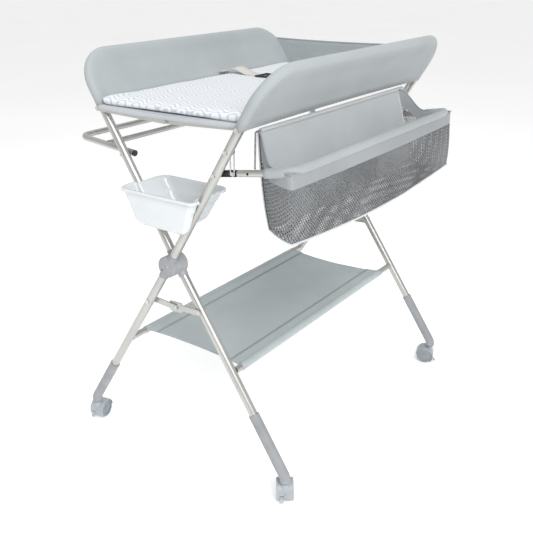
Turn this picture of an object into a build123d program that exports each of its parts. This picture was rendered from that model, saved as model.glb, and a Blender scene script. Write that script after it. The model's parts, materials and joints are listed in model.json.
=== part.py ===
from build123d import *
from math import atan, cos, hypot, sin
import os

# Folding changing table on casters, millimetres, +Z up, origin on the floor under its middle.
# Two identical U-shaped tube frames cross at a hub at each end and fold like scissors.
# Frame B leans to the right above the hub and frame A to the left. -Y is the near end.

os.makedirs("parts", exist_ok=True)

# Frames
NEAR, FAR = 0, 1
LEG_Y = {"b": (-397.0, 383.0), "a": (-369.0, 411.0)}   # planes of the near and the far leg
LEAN = {"b": 1, "a": -1}                               # side that the frame leans to above the hub
HUB_Z = 521.8
UPPER_SLOPE = 0.629                                    # sideways run per millimetre of height
LOWER_SLOPE = 0.663
TUBE_R, TUBE_BORE = 10.0, 8.6
HOOP_TOP = 981.0
HOOP_FOOT = 866.0
HOOP_BEND = 85.0
GAP = 0.3                                              # clearance between parts that move apart
FIT = 0.05                                             # radial running clearance on a pin

# Hubs
DISC_R = 25.0
COLLAR_R, COLLAR_END = 11.4, 34.0
TUBE_START = 24.0                                      # where a leg tube starts, from the hub axis
HUB_PIN_R = 4.0

# Feet and casters
SLEEVE_R = 12.5
SLEEVE_TOP, LEG_END = 197.0, 140.0
ELBOW_Z, FOOT_BOTTOM = 66.5, 53.0
STEM_R = 5.0
WHEEL_R, AXLE_Z, AXLE_TRAIL = 23.0, 23.0, 14.0
WHEEL_IN, WHEEL_OUT = 4.4, 18.0                        # each wheel's inner and outer face
HOOD_R, HOOD_HALF = 26.0, 20.0
CASTER_TRAIL = {"b_near": 102, "a_near": 127, "b_far": 102, "a_far": 200}

# Pivots, all parallel to Y, as heights on the legs
DECK_PIVOT_Z, DECK_MID_Z = 864.0, 856.0
STRUT_PIVOT_Z = 815.0
ARM_PIVOT_Z = 761.0
BRACE_PIVOT_Z, BRACE_MID_Z = 417.0, 413.0
RIVET_R = 3.0

# Shelf, rack, basket
SHELF_Z, SHELF_TUBE_R = 286.0, 8.0
RAIL_R, RAIL_BORE = 7.5, 6.0
RACK_OUT_X, RACK_OUT_Z, RACK_IN_X = -326.0, 778.0, -236.0
BASKET_OUT_X, BASKET_OUT_Z = 326.0, 788.0
BASKET_FLOOR, BASKET_RIM, ROD_Z = 640.0, 778.0, 846.0

# Soft parts
DECK_Z, DECK_THICK = 870.4, 2.6
PAD_Z, PAD_TOP = 873.4, 893.4
WALL_THICK, WALL_LOW = 6.0, 873.0


def leg_x(frame, z):
    """Sideways place of a frame's leg at height z."""
    slope = UPPER_SLOPE if z >= HUB_Z else LOWER_SLOPE
    return LEAN[frame] * slope * (z - HUB_Z)


def on_leg(frame, end, z):
    return Vector(leg_x(frame, z), LEG_Y[frame][end], z)


def from_hub(frame, end, upper, distance):
    """Point on a leg at a distance from the hub axis."""
    slope = UPPER_SLOPE if upper else LOWER_SLOPE
    rise = distance / hypot(1, slope) * (1 if upper else -1)
    return on_leg(frame, end, HUB_Z + rise)


def inward(end):
    """Direction along Y from an end of the table towards its middle."""
    return 1 if end == NEAR else -1


def save(builder, name):
    builder.part.label = name
    export_step(builder.part, f"parts/{name}.step")


def across(start, stop, point):
    """Plane square to Y at start, so that an extrude of the size runs to stop."""
    normal = (0, 1, 0) if stop > start else (0, -1, 0)
    return Plane(origin=(point[0], start, point[1]), x_dir=(1, 0, 0), z_dir=normal)


def tube_part(runs, radius, bore, bend=None):
    """Round tubes, one for each list of points, with bends where the list turns."""
    with BuildPart() as tubes:
        for points in runs:
            with BuildLine() as line:
                if bend is None:
                    Line(points[0], points[1])
                else:
                    FilletPolyline(*points, radius=bend)
            along = Vector(*points[1]) - Vector(*points[0])
            with BuildSketch(Plane(origin=points[0], z_dir=along)):
                Circle(radius)
                if bore:
                    Circle(bore, mode=Mode.SUBTRACT)
            sweep(path=line.wire())
    return tubes


def pins_part(pins):
    """Pins along Y: each is (x, z, first y, last y, radius)."""
    with BuildPart() as group:
        for x, z, first, last, radius in pins:
            with BuildSketch(across(first, last, (x, z))):
                Circle(radius)
            extrude(amount=abs(last - first))
    return group


# ---------------------------------------------------------------- the two frames
for frame in ("b", "a"):
    near_y, far_y = LEG_Y[frame]
    foot_x, top_x = leg_x(frame, HOOP_FOOT), leg_x(frame, HOOP_TOP)
    hoop_points = [
        (foot_x, near_y, HOOP_FOOT),
        (top_x, near_y, HOOP_TOP),
        (top_x, far_y, HOOP_TOP),
        (foot_x, far_y, HOOP_FOOT),
    ]
    save(tube_part([hoop_points], TUBE_R, TUBE_BORE, HOOP_BEND), f"wall_hoop_{frame}")

    for end, end_name in ((NEAR, "near"), (FAR, "far")):
        upper = [on_leg(frame, end, HOOP_FOOT), from_hub(frame, end, True, TUBE_START)]
        lower = [from_hub(frame, end, False, TUBE_START), on_leg(frame, end, LEG_END)]
        save(tube_part([upper], TUBE_R, TUBE_BORE), f"upper_leg_{frame}_{end_name}")
        save(tube_part([lower], TUBE_R, TUBE_BORE), f"lower_leg_{frame}_{end_name}")

        # Hub disc: the two frames' discs lie side by side and turn on one pin.
        y = LEG_Y[frame][end]
        mate = (LEG_Y["a"][end] + LEG_Y["b"][end]) / 2
        side = 1 if mate > y else -1
        inner_face = mate - side * GAP / 2
        outer_face = y - side * 11.0
        with BuildPart() as disc:
            with BuildSketch(across(outer_face, inner_face, (0, HUB_Z))):
                Circle(DISC_R)
            extrude(amount=abs(inner_face - outer_face))
            rim = disc.edges().filter_by(GeomType.CIRCLE).sort_by(Axis.Y)
            chamfer(rim[0] if side > 0 else rim[-1], 2.0)
            for is_upper in (True, False):
                start = from_hub(frame, end, is_upper, TUBE_START / 2)
                stop = from_hub(frame, end, is_upper, COLLAR_END)
                socket = from_hub(frame, end, is_upper, TUBE_START - GAP)
                along = (stop - start).normalized()
                with BuildSketch(Plane(origin=start, z_dir=along)):
                    Circle(COLLAR_R)
                extrude(amount=(stop - start).length)
                with BuildSketch(Plane(origin=socket, z_dir=along)):
                    Circle(TUBE_R + FIT)
                extrude(amount=DISC_R, mode=Mode.SUBTRACT)
            pin_hole = HUB_PIN_R if frame == "b" else HUB_PIN_R + FIT
            with BuildSketch(Plane(origin=(0, y, HUB_Z), z_dir=(0, 1, 0))):
                Circle(pin_hole)
            extrude(amount=60, both=True, mode=Mode.SUBTRACT)
            with BuildSketch(across(outer_face, inner_face, (-13.0, HUB_Z - 9.0))):
                Circle(2.4)
            extrude(amount=7.0, mode=Mode.SUBTRACT)
        save(disc, f"hub_disc_{frame}_{end_name}")

        # Foot: a plastic sleeve over the leg's end, with an elbow that stands upright.
        with BuildPart() as foot:
            top = on_leg(frame, end, SLEEVE_TOP)
            elbow = on_leg(frame, end, ELBOW_Z)
            with BuildLine() as spine:
                FilletPolyline(top, elbow, (elbow.X, elbow.Y, FOOT_BOTTOM), radius=20)
            along = (elbow - top).normalized()
            with BuildSketch(Plane(origin=top, z_dir=along)):
                Circle(SLEEVE_R)
            sweep(path=spine.wire())
            fillet(foot.edges().filter_by(GeomType.CIRCLE).sort_by(Axis.Z)[0], 3.5)
            with BuildSketch(Plane(origin=top, z_dir=along)):
                Circle(TUBE_R + FIT)
            extrude(amount=(on_leg(frame, end, LEG_END) - top).length + 1, mode=Mode.SUBTRACT)
            with BuildSketch(Plane.XY.offset(FOOT_BOTTOM)):
                with Locations((elbow.X, elbow.Y)):
                    Circle(STEM_R + FIT)
            extrude(amount=16, mode=Mode.SUBTRACT)
        save(foot, f"foot_{frame}_{end_name}")

# The pin through each pair of hub discs belongs to frame B; its head covers frame A's disc.
hub_pin_list = []
for end in (NEAR, FAR):
    outer = LEG_Y["b"][end] - 9.0
    inner = LEG_Y["a"][end] + 9.0
    hub_pin_list.append((0, HUB_Z, outer, inner, HUB_PIN_R))
save(pins_part(hub_pin_list), "hub_pins")

# ---------------------------------------------------------------- shelf tubes
for frame, side_name in (("b", "left"), ("a", "right")):
    x = leg_x(frame, SHELF_Z)
    start_y, stop_y = LEG_Y[frame][NEAR] + TUBE_R, LEG_Y[frame][FAR] - TUBE_R
    save(tube_part([[(x, start_y, SHELF_Z), (x, stop_y, SHELF_Z)]], SHELF_TUBE_R, 6.8),
         f"shelf_tube_{side_name}")

# ---------------------------------------------------------------- folding crossbars and braces
# All the links lie in the narrow gap between the two leg planes of an end, in two layers.
BAR_HALF, LINK_HALF, LINK_THICK = 6.0, 7.0, 3.4
MID_HEAD_R, MID_HEAD_H = 4.0, 1.8


def link_part(places, half, ends):
    """Flat links: each place is (x, z) of the pivot, (x, z) of the free end, first y, last y."""
    with BuildPart() as links:
        for pivot, free, first, last in places:
            run = hypot(free[0] - pivot[0], free[1] - pivot[1])
            along = Vector(free[0] - pivot[0], 0, free[1] - pivot[1])
            plane = Plane(origin=(pivot[0], first, pivot[1]), x_dir=along, z_dir=(0, 1, 0))
            with BuildSketch(plane):
                with Locations((run / 2, 0)):
                    SlotCenterToCenter(run, 2 * half)
                    if ends:
                        with Locations((run / 2, 0)):
                            RectangleRounded(ends[0], ends[1], 3)
                Circle(RIVET_R + FIT, mode=Mode.SUBTRACT)
            extrude(amount=last - first)
    return links


def layer(end, index):
    """First and last y of a link layer: 0 is the layer at lower y, 1 the other."""
    start = LEG_Y["b"][end] + TUBE_R + GAP + index * (LINK_THICK + GAP)
    return start, start + LINK_THICK


bar_bands = {"left": (layer(NEAR, 0), layer(FAR, 1)), "right": (layer(NEAR, 1), layer(FAR, 0))}
link_bands = {"left": (layer(NEAR, 0), layer(FAR, 0)), "right": (layer(NEAR, 1), layer(FAR, 1))}
for side_name, frame in (("left", "a"), ("right", "b")):
    pivot = (leg_x(frame, DECK_PIVOT_Z), DECK_PIVOT_Z)
    bars = [(pivot, (0, DECK_MID_Z), first, last) for first, last in bar_bands[side_name]]
    bar = link_part(bars, BAR_HALF, None)
    if side_name == "left":
        # the middle rivet's head, on the face that shows
        face_y = bar_bands[side_name][NEAR][0]
        head = pins_part([(0, DECK_MID_Z, face_y - MID_HEAD_H, face_y, MID_HEAD_R)])
        with bar:
            add(head.part)
    save(bar, f"deck_bar_{side_name}")
for side_name, frame in (("left", "b"), ("right", "a")):
    pivot = (leg_x(frame, BRACE_PIVOT_Z), BRACE_PIVOT_Z)
    links = [(pivot, (0, BRACE_MID_Z), first, last) for first, last in link_bands[side_name]]
    plate = (38, 25) if side_name == "right" else None
    save(link_part(links, LINK_HALF, plate), f"brace_link_{side_name}")

# ---------------------------------------------------------------- towel rack on frame A
rack_y = (LEG_Y["a"][NEAR] + TUBE_R + GAP + RAIL_R, LEG_Y["a"][FAR] - TUBE_R - GAP - RAIL_R)
arm_x = leg_x("a", ARM_PIVOT_Z)
rack_slope = (RACK_OUT_Z - ARM_PIVOT_Z) / (RACK_OUT_X - arm_x)


def rack_z(x):
    return ARM_PIVOT_Z + (x - arm_x) * rack_slope


rack_end_x = arm_x + 12.0
rack_path = [
    (rack_end_x, rack_y[0], rack_z(rack_end_x)),
    (RACK_OUT_X, rack_y[0], RACK_OUT_Z),
    (RACK_OUT_X, rack_y[1], RACK_OUT_Z),
    (rack_end_x, rack_y[1], rack_z(rack_end_x)),
]
rack_tube = tube_part([rack_path], RAIL_R, RAIL_BORE, 26.0)
with BuildPart() as rack_frame:
    add(rack_tube.part)
    with BuildSketch(Plane(origin=(arm_x, 0, ARM_PIVOT_Z), z_dir=(0, 1, 0))):
        Circle(RIVET_R + FIT)
    extrude(amount=500, both=True, mode=Mode.SUBTRACT)
save(rack_frame, "rack_frame")

inner_rail = [
    (RACK_IN_X, rack_y[0] + RAIL_R, rack_z(RACK_IN_X)),
    (RACK_IN_X, rack_y[1] - RAIL_R, rack_z(RACK_IN_X)),
]
save(tube_part([inner_rail], 7.0, 5.6), "rack_inner_rail")

arm_direction = Vector(1, 0, rack_slope)
with BuildPart() as rack_plugs:
    for y in rack_y:
        with BuildSketch(Plane(origin=(rack_end_x, y, rack_z(rack_end_x)), z_dir=arm_direction)):
            Circle(RAIL_R)
        extrude(amount=4.0)
        with BuildSketch(Plane(origin=(rack_end_x, y, rack_z(rack_end_x)), z_dir=arm_direction * -1)):
            Circle(RAIL_BORE)
        extrude(amount=6.0)
save(rack_plugs, "rack_end_plugs")

# ---------------------------------------------------------------- basket on frame B
hinge_x = leg_x("b", ARM_PIVOT_Z)
basket_slope = (BASKET_OUT_Z - ARM_PIVOT_Z) / (BASKET_OUT_X - hinge_x)


def basket_z(x):
    return ARM_PIVOT_Z + (x - hinge_x) * basket_slope


basket_y = (LEG_Y["b"][NEAR] + TUBE_R + GAP + RAIL_R, LEG_Y["b"][FAR] - TUBE_R - GAP - RAIL_R)
SLEEVE_X = hinge_x + 46.0                          # where the round tube starts on the flat arm link
basket_path = [
    (SLEEVE_X, basket_y[0], basket_z(SLEEVE_X)),
    (BASKET_OUT_X, basket_y[0], BASKET_OUT_Z),
    (BASKET_OUT_X, basket_y[1], BASKET_OUT_Z),
    (SLEEVE_X, basket_y[1], basket_z(SLEEVE_X)),
]
basket_tube = tube_part([basket_path], RAIL_R, RAIL_BORE, 30.0)
with BuildPart() as basket_frame:
    add(basket_tube.part)
    for end in (NEAR, FAR):
        # button hole on the outer side of each arm
        with BuildSketch(Plane(origin=(224.0, basket_y[end], basket_z(224.0)), z_dir=(0, -inward(end), 0))):
            Circle(3.0)
        extrude(amount=12, mode=Mode.SUBTRACT)
save(basket_frame, "basket_frame")

ARM_THICK, ARM_HALF, TONGUE_HALF = 7.0, 7.0, 4.0
basket_along = Vector(1, 0, basket_slope).normalized()
with BuildPart() as basket_arms:
    for end in (NEAR, FAR):
        first = basket_y[end] - ARM_THICK / 2
        plane = Plane(origin=(hinge_x, first, ARM_PIVOT_Z), x_dir=basket_along, z_dir=(0, 1, 0))
        with BuildSketch(plane):
            with Locations((16.0, 0)):
                RectangleRounded(56.0, 2 * ARM_HALF, 4.0)
            with Locations((56.0, 0)):
                Rectangle(30.0, 2 * TONGUE_HALF)
            Circle(RIVET_R + FIT, mode=Mode.SUBTRACT)
        extrude(amount=ARM_THICK)
save(basket_arms, "basket_arm_links")

# The bail is a wire bow that carries the bag's inner edge above the arms.
BAIL_X, BAIL_FOOT_X, BAIL_R = 203.0, 238.0, 2.0
bail_path = [
    (BAIL_FOOT_X, basket_y[0], basket_z(BAIL_FOOT_X) + RAIL_R + BAIL_R),
    (BAIL_X, basket_y[0] + 50.0, ROD_Z),
    (BAIL_X, basket_y[1] - 20.0, ROD_Z),
    (BAIL_FOOT_X, basket_y[1], basket_z(BAIL_FOOT_X) + RAIL_R + BAIL_R),
]
save(tube_part([bail_path], BAIL_R, None, 8.0), "basket_bail")
sleeve_path = [(BAIL_X, basket_y[0] + 66.0, ROD_Z), (BAIL_X, basket_y[1] - 32.0, ROD_Z)]
save(tube_part([sleeve_path], 5.0, BAIL_R + FIT), "basket_rod_sleeve")

# Bag: floor, two ends and outer wall up to the rail, inner wall up to the rod.
BAG_WALL = 3.0
BAG_FOOT_X, BAG_OUT_X, BAG_RIM_X = 240.0, 330.0, 206.0
bag_y = (basket_y[0] + RAIL_R + 1.2, basket_y[1] - RAIL_R - 1.2)
bag_top = ROD_Z - 8.0
lean = (BAG_RIM_X - BAG_FOOT_X) / (bag_top - BASKET_FLOOR)


def bag_x(z):
    return BAG_FOOT_X + (z - BASKET_FLOOR) * lean


with BuildPart() as bag:
    with BuildSketch(Plane(origin=(0, bag_y[0], 0), x_dir=(1, 0, 0), z_dir=(0, -1, 0))):
        with BuildLine():
            Polyline((BAG_FOOT_X, BASKET_FLOOR), (BAG_OUT_X, BASKET_FLOOR), (BAG_OUT_X, BASKET_RIM),
                     (bag_x(BASKET_RIM), BASKET_RIM), close=True)
        make_face()
    extrude(amount=bag_y[0] - bag_y[1])
    inside_y = (bag_y[0] + BAG_WALL, bag_y[1] - BAG_WALL)
    floor_top = BASKET_FLOOR + BAG_WALL
    above = BASKET_RIM + 5.0
    with BuildSketch(Plane(origin=(0, inside_y[0], 0), x_dir=(1, 0, 0), z_dir=(0, -1, 0))):
        with BuildLine():
            Polyline((bag_x(floor_top) + BAG_WALL, floor_top), (BAG_OUT_X - BAG_WALL, floor_top),
                     (BAG_OUT_X - BAG_WALL, above), (bag_x(above) + BAG_WALL, above), close=True)
        make_face()
    extrude(amount=inside_y[0] - inside_y[1], mode=Mode.SUBTRACT)
    with BuildSketch(Plane(origin=(0, basket_y[0] + 64.0, 0), x_dir=(1, 0, 0), z_dir=(0, -1, 0))):
        with BuildLine():
            low = BASKET_RIM - 10.0
            Polyline((bag_x(low), low), (bag_x(low) + BAG_WALL, low),
                     (bag_x(bag_top) + BAG_WALL, bag_top), (bag_x(bag_top), bag_top), close=True)
        make_face()
    extrude(amount=basket_y[0] + 64.0 - (basket_y[1] - 30.0))
save(bag, "basket_bag")

# Struts: wire loops that hang from the legs beside the arm links, with a stud at the bottom.
WIRE_R, LOOP_HALF, STUD_DROP = 1.5, 4.8, 48.0
STRUT_GAP = 0.5
strut_x = leg_x("b", STRUT_PIVOT_Z)
with BuildPart() as struts:
    for end in (NEAR, FAR):
        y = LEG_Y["b"][end] + inward(end) * (TUBE_R + STRUT_GAP + WIRE_R)
        loop_plane = Plane(origin=(strut_x, y, STRUT_PIVOT_Z), x_dir=(1, 0, 0), z_dir=(0, -1, 0))
        with BuildLine(loop_plane) as loop:
            right = Line((LOOP_HALF, -2), (LOOP_HALF, -STUD_DROP))
            bottom = ThreePointArc(right @ 1, (0, -STUD_DROP - LOOP_HALF), (-LOOP_HALF, -STUD_DROP))
            left = Line(bottom @ 1, (-LOOP_HALF, -2))
        start = loop_plane.from_local_coords(Vector(LOOP_HALF, -2, 0))
        with BuildSketch(Plane(origin=start, z_dir=(0, 0, -1))):
            Circle(WIRE_R)
        sweep(path=loop.wire())
        eye_plane = Plane(origin=(strut_x, y - WIRE_R, STRUT_PIVOT_Z), x_dir=(1, 0, 0), z_dir=(0, 1, 0))
        with BuildSketch(eye_plane):
            SlotOverall(16.0, 14.0, rotation=90)
            Circle(RIVET_R + FIT, mode=Mode.SUBTRACT)
        extrude(amount=2 * WIRE_R)
        outside = y - inward(end) * (WIRE_R + 2.2)
        inside = y + inward(end) * WIRE_R
        with BuildSketch(across(outside, inside, (strut_x, STRUT_PIVOT_Z - STUD_DROP))):
            Circle(4.2)
        extrude(amount=abs(inside - outside))
save(struts, "basket_struts")

# ---------------------------------------------------------------- rivets and pivot bolts
HEAD_R, HEAD_H = 5.5, 2.2


def rivet(group, x, z, leg_y, out, reach):
    """A bolt through a leg: its head on the side that out points to, its shank to reach."""
    group.append((x, z, leg_y + out * (TUBE_R + HEAD_H), leg_y + out * (TUBE_R - 1.0), HEAD_R))
    group.append((x, z, leg_y + out * (TUBE_R - 1.0), reach, RIVET_R))


rivets = {"a": [], "b": []}
for end in (NEAR, FAR):
    for frame, bar_side, link_side in (("a", "left", "right"), ("b", "right", "left")):
        leg_y, outside = LEG_Y[frame][end], -inward(end)
        arm_y = rack_y[end] if frame == "a" else basket_y[end]
        arm_half = RAIL_R if frame == "a" else ARM_THICK / 2
        rivet(rivets[frame], leg_x(frame, ARM_PIVOT_Z), ARM_PIVOT_Z, leg_y, outside,
              arm_y + inward(end) * arm_half)
        # the links' rivets run into the gap, which lies at higher y beside frame B
        from_gap = -1 if frame == "b" else 1
        for height, bands in ((DECK_PIVOT_Z, bar_bands[bar_side]), (BRACE_PIVOT_Z, link_bands[link_side])):
            reach = bands[end][1] if frame == "b" else bands[end][0]
            rivet(rivets[frame], leg_x(frame, height), height, leg_y, from_gap, reach)
    strut_reach = LEG_Y["b"][end] + inward(end) * (TUBE_R + STRUT_GAP + 2 * WIRE_R)
    rivet(rivets["b"], strut_x, STRUT_PIVOT_Z, LEG_Y["b"][end], -inward(end), strut_reach)
for frame in ("a", "b"):
    save(pins_part(rivets[frame]), f"leg_rivets_{frame}")

# ---------------------------------------------------------------- tub
TUB_RIM, TUB_FLOOR, TUB_WALL = 700.0, 620.0, 2.4
TUB_FRONT, TUB_BACK = -434.0, -296.0
WING_TOP, WING_BOTTOM = 112.0, 78.0                # in front of the legs
BODY_TOP, BODY_BOTTOM = 97.0, 47.0                 # inside the V of the legs
RIGHT_STEP, LEFT_STEP = -408.0, -380.0             # where each shoulder steps in

tub_blocks = [
    (-BODY_TOP, BODY_TOP, -BODY_BOTTOM, BODY_BOTTOM, TUB_BACK),
    (-WING_TOP, WING_TOP, -WING_BOTTOM, WING_BOTTOM, RIGHT_STEP),
    (-WING_TOP, 20.0, -WING_BOTTOM, 10.0, LEFT_STEP),
]


def tub_block(block, inset, floor, rim, corner):
    """A tapered block of the tub: wide at the rim, narrow at the floor."""
    left_top, right_top, left_low, right_low, back = block
    with BuildPart() as body:
        for z, left, right, draft in ((floor, left_low, right_low, 8.0), (rim, left_top, right_top, 0.0)):
            front_y, back_y = TUB_FRONT + inset + draft, back - inset - (draft if back == TUB_BACK else 0)
            with BuildSketch(Plane.XY.offset(z)):
                with Locations(((left + right) / 2, (front_y + back_y) / 2)):
                    width, depth = right - left - 2 * inset, back_y - front_y
                    RectangleRounded(width, depth, min(corner, depth / 2 - 1))
        loft()
    return body.part


outer_blocks = [tub_block(block, 0.0, TUB_FLOOR, TUB_RIM, 16.0) for block in tub_blocks]
inner_blocks = [tub_block(block, TUB_WALL, TUB_FLOOR + TUB_WALL, TUB_RIM + 0.5, 14.0) for block in tub_blocks]
with BuildPart() as tub:
    for block in outer_blocks:
        add(block)
    for block in inner_blocks:
        add(block, mode=Mode.SUBTRACT)
save(tub, "bath_tub")

# ---------------------------------------------------------------- casters
# Built with the stem at the origin and the axle trailing along +X, then turned and placed.
with BuildPart() as hood_master:
    with BuildSketch(Plane(origin=(AXLE_TRAIL, 0, AXLE_Z), x_dir=(1, 0, 0), z_dir=(0, -1, 0))):
        Circle(HOOD_R)
    extrude(amount=HOOD_HALF, both=True)
    fillet(hood_master.edges().filter_by(GeomType.CIRCLE), 2.5)
    # the boss under the stem
    with BuildSketch(Plane.XY.offset(AXLE_Z)):
        Circle(9.0)
    extrude(amount=27.0)
    # open the hood below and behind the wheels
    with BuildSketch(Plane(origin=(AXLE_TRAIL, 0, AXLE_Z), x_dir=(1, 0, 0), z_dir=(0, -1, 0))):
        with BuildLine():
            Polyline((-30, -17), (-6, -17), (8, -2), (40, 4), (40, -30), (-30, -30), close=True)
        make_face()
    extrude(amount=30, both=True, mode=Mode.SUBTRACT)
    # wheel rooms, one each side of the middle web
    for side in (1, -1):
        with BuildSketch(Plane(origin=(AXLE_TRAIL, side * 3.8, AXLE_Z), x_dir=(1, 0, 0), z_dir=(0, side, 0))):
            Circle(WHEEL_R + 0.7)
        extrude(amount=30, mode=Mode.SUBTRACT)
    # axle bore and brake slot
    with BuildSketch(Plane(origin=(AXLE_TRAIL, 0, AXLE_Z), x_dir=(1, 0, 0), z_dir=(0, -1, 0))):
        Circle(2.5 + FIT)
    extrude(amount=30, both=True, mode=Mode.SUBTRACT)
    with Locations((-11.0, 8.0, 12.0)):
        Box(13.0, 9.0, 22.0, mode=Mode.SUBTRACT)
    # screw hole in the front
    with BuildSketch(Plane(origin=(-20.0, 0, 27.0), z_dir=(1, 0, 0))):
        Circle(1.6)
    extrude(amount=10, mode=Mode.SUBTRACT)
    with BuildSketch(Plane.XY.offset(49.0)):
        Circle(STEM_R)
    extrude(amount=FOOT_BOTTOM + 15.0 - 49.0)

with BuildPart() as wheel_master:
    for side in (1, -1):
        with BuildSketch(Plane(origin=(AXLE_TRAIL, side * WHEEL_IN, AXLE_Z), z_dir=(0, side, 0))):
            Circle(WHEEL_R)
        extrude(amount=WHEEL_OUT - WHEEL_IN)
    tread_edges = [e for e in wheel_master.edges().filter_by(GeomType.CIRCLE) if e.radius > WHEEL_R - 1]
    fillet(tread_edges, 1.5)
    for side in (1, -1):
        with BuildSketch(Plane(origin=(AXLE_TRAIL, side * WHEEL_OUT, AXLE_Z), z_dir=(0, -side, 0))):
            Circle(17.0)
            Circle(6.5, mode=Mode.SUBTRACT)
        extrude(amount=2.0, mode=Mode.SUBTRACT)
    with BuildSketch(Plane(origin=(AXLE_TRAIL, 0, AXLE_Z), z_dir=(0, 1, 0))):
        Circle(2.5)
    extrude(amount=WHEEL_IN + 2.0, both=True)

BRAKE_PIVOT = (-10.9, 8.0, 19.0)
BRAKE_WIDE, BRAKE_BARREL_R = 7.8, 1.6
BRAKE_PROFILE = ((-11.6, 20.4), (-9.8, 20.4), (-9.8, 13.0), (-15.6, 7.6), (-18.6, 9.4), (-13.4, 15.4))
brake_side = Plane(origin=(0, BRAKE_PIVOT[1] + BRAKE_WIDE / 2, 0), x_dir=(1, 0, 0), z_dir=(0, -1, 0))
with BuildPart() as brake_master:
    with BuildSketch(brake_side):
        with BuildLine():
            Polyline(*BRAKE_PROFILE, close=True)
        make_face()
        with Locations((BRAKE_PIVOT[0], BRAKE_PIVOT[2])):
            Circle(BRAKE_BARREL_R)
    extrude(amount=BRAKE_WIDE)

for frame in ("b", "a"):
    for end, end_name in ((NEAR, "near"), (FAR, "far")):
        place = Location((leg_x(frame, ELBOW_Z), LEG_Y[frame][end], 0),
                         (0, 0, CASTER_TRAIL[f"{frame}_{end_name}"]))
        for master, node in ((hood_master, "caster_hood"), (wheel_master, "caster_wheels"),
                             (brake_master, "caster_brake")):
            with BuildPart() as piece:
                add(master.part.moved(place))
            save(piece, f"{node}_{frame}_{end_name}")

# ---------------------------------------------------------------- fabric and padding
# Wall panels fill the hoops; the pad, deck, end wall and shelf span both frames.
for frame in ("b", "a"):
    near_y, far_y = LEG_Y[frame]
    lean_angle = atan(UPPER_SLOPE)
    up = Vector(LEAN[frame] * sin(lean_angle), 0, cos(lean_angle))
    plane = Plane(origin=(0, 0, HUB_Z), x_dir=(0, 1, 0), z_dir=Vector(0, 1, 0).cross(up))
    low, high = (WALL_LOW - HUB_Z) / cos(lean_angle), (HOOP_TOP - HUB_Z) / cos(lean_angle) - TUBE_R - 0.4
    width, bend = far_y - near_y - 2 * TUBE_R - 0.8, HOOP_BEND - TUBE_R
    with BuildPart() as wall:
        with BuildSketch(plane):
            with Locations(((near_y + far_y) / 2, (low + high) / 2)):
                Rectangle(width, high - low)
            for side in (-1, 1):
                corner = ((near_y + far_y) / 2 + side * width / 2, high)
                with Locations(corner):
                    Rectangle(2 * bend, 2 * bend, mode=Mode.SUBTRACT)
                with Locations((corner[0] - side * bend, high - bend)):
                    Circle(bend)
                with Locations((corner[0], low - bend)):
                    Rectangle(4 * bend, 2 * bend, mode=Mode.SUBTRACT)
        extrude(amount=WALL_THICK / 2, both=True)
    save(wall, f"wall_fabric_{frame}")

PAD_Y = (-389.0, 369.0)
PAD_HALF_LOW, PAD_HALF_TOP = 198.0, 206.0
with BuildPart() as pad:
    for z, half in ((PAD_Z, PAD_HALF_LOW), (PAD_TOP, PAD_HALF_TOP)):
        with BuildSketch(Plane.XY.offset(z)):
            with Locations((0, sum(PAD_Y) / 2)):
                RectangleRounded(2 * half, PAD_Y[1] - PAD_Y[0], 12)
    loft()
save(pad, "changing_pad")

with BuildPart() as deck:
    with BuildSketch(Plane.XY.offset(DECK_Z)):
        with Locations((0, sum(PAD_Y) / 2)):
            RectangleRounded(2 * PAD_HALF_LOW, PAD_Y[1] - PAD_Y[0], 10)
    extrude(amount=DECK_THICK)
save(deck, "deck_fabric")

END_LOW, END_TOP, END_THICK = 872.0, 955.0, 3.0
end_mid = (LEG_Y["b"][FAR] + LEG_Y["a"][FAR]) / 2
with BuildPart() as end_wall:
    with BuildSketch(Plane(origin=(0, end_mid, 0), x_dir=(1, 0, 0), z_dir=(0, -1, 0))):
        with BuildLine():
            low_x, top_x = leg_x("b", END_LOW) - 6.0, leg_x("b", END_TOP) - 6.0
            Polyline((-low_x, END_LOW), (low_x, END_LOW), (top_x, END_TOP), (-top_x, END_TOP), close=True)
        make_face()
    extrude(amount=END_THICK / 2, both=True)
save(end_wall, "end_wall_fabric")

SHELF_Y = (-338.0, 338.0)
shelf_half = abs(leg_x("b", SHELF_Z)) - SHELF_TUBE_R - 0.6
with BuildPart() as shelf:
    with BuildSketch(Plane.XY.offset(SHELF_Z - 2.0)):
        with Locations((0, sum(SHELF_Y) / 2)):
            Rectangle(2 * shelf_half, SHELF_Y[1] - SHELF_Y[0])
    extrude(amount=4.0)
save(shelf, "shelf_fabric")

STRAP_Y, STRAP_WIDTH, STRAP_THICK = 81.0, 38.0, 2.0
BUCKLE = (-92.0, -26.0)
for node, x_from, x_to in (("pad_strap_left", -204.0, BUCKLE[0]), ("pad_strap_right", BUCKLE[1], 204.0)):
    with BuildPart() as strap:
        with Locations(((x_from + x_to) / 2, STRAP_Y, PAD_TOP + 0.2 + STRAP_THICK / 2)):
            Box(x_to - x_from, STRAP_WIDTH, STRAP_THICK)
    save(strap, node)
with BuildPart() as buckle:
    with Locations((sum(BUCKLE) / 2, STRAP_Y, PAD_TOP + 4.7)):
        Box(BUCKLE[1] - BUCKLE[0], STRAP_WIDTH + 10.0, 9.0)
    fillet(buckle.edges().filter_by(Axis.Z), 6.0)
save(buckle, "strap_buckle")
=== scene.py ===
import json
import math

import bmesh
import bpy
from mathutils import Matrix, Vector, noise


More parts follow.
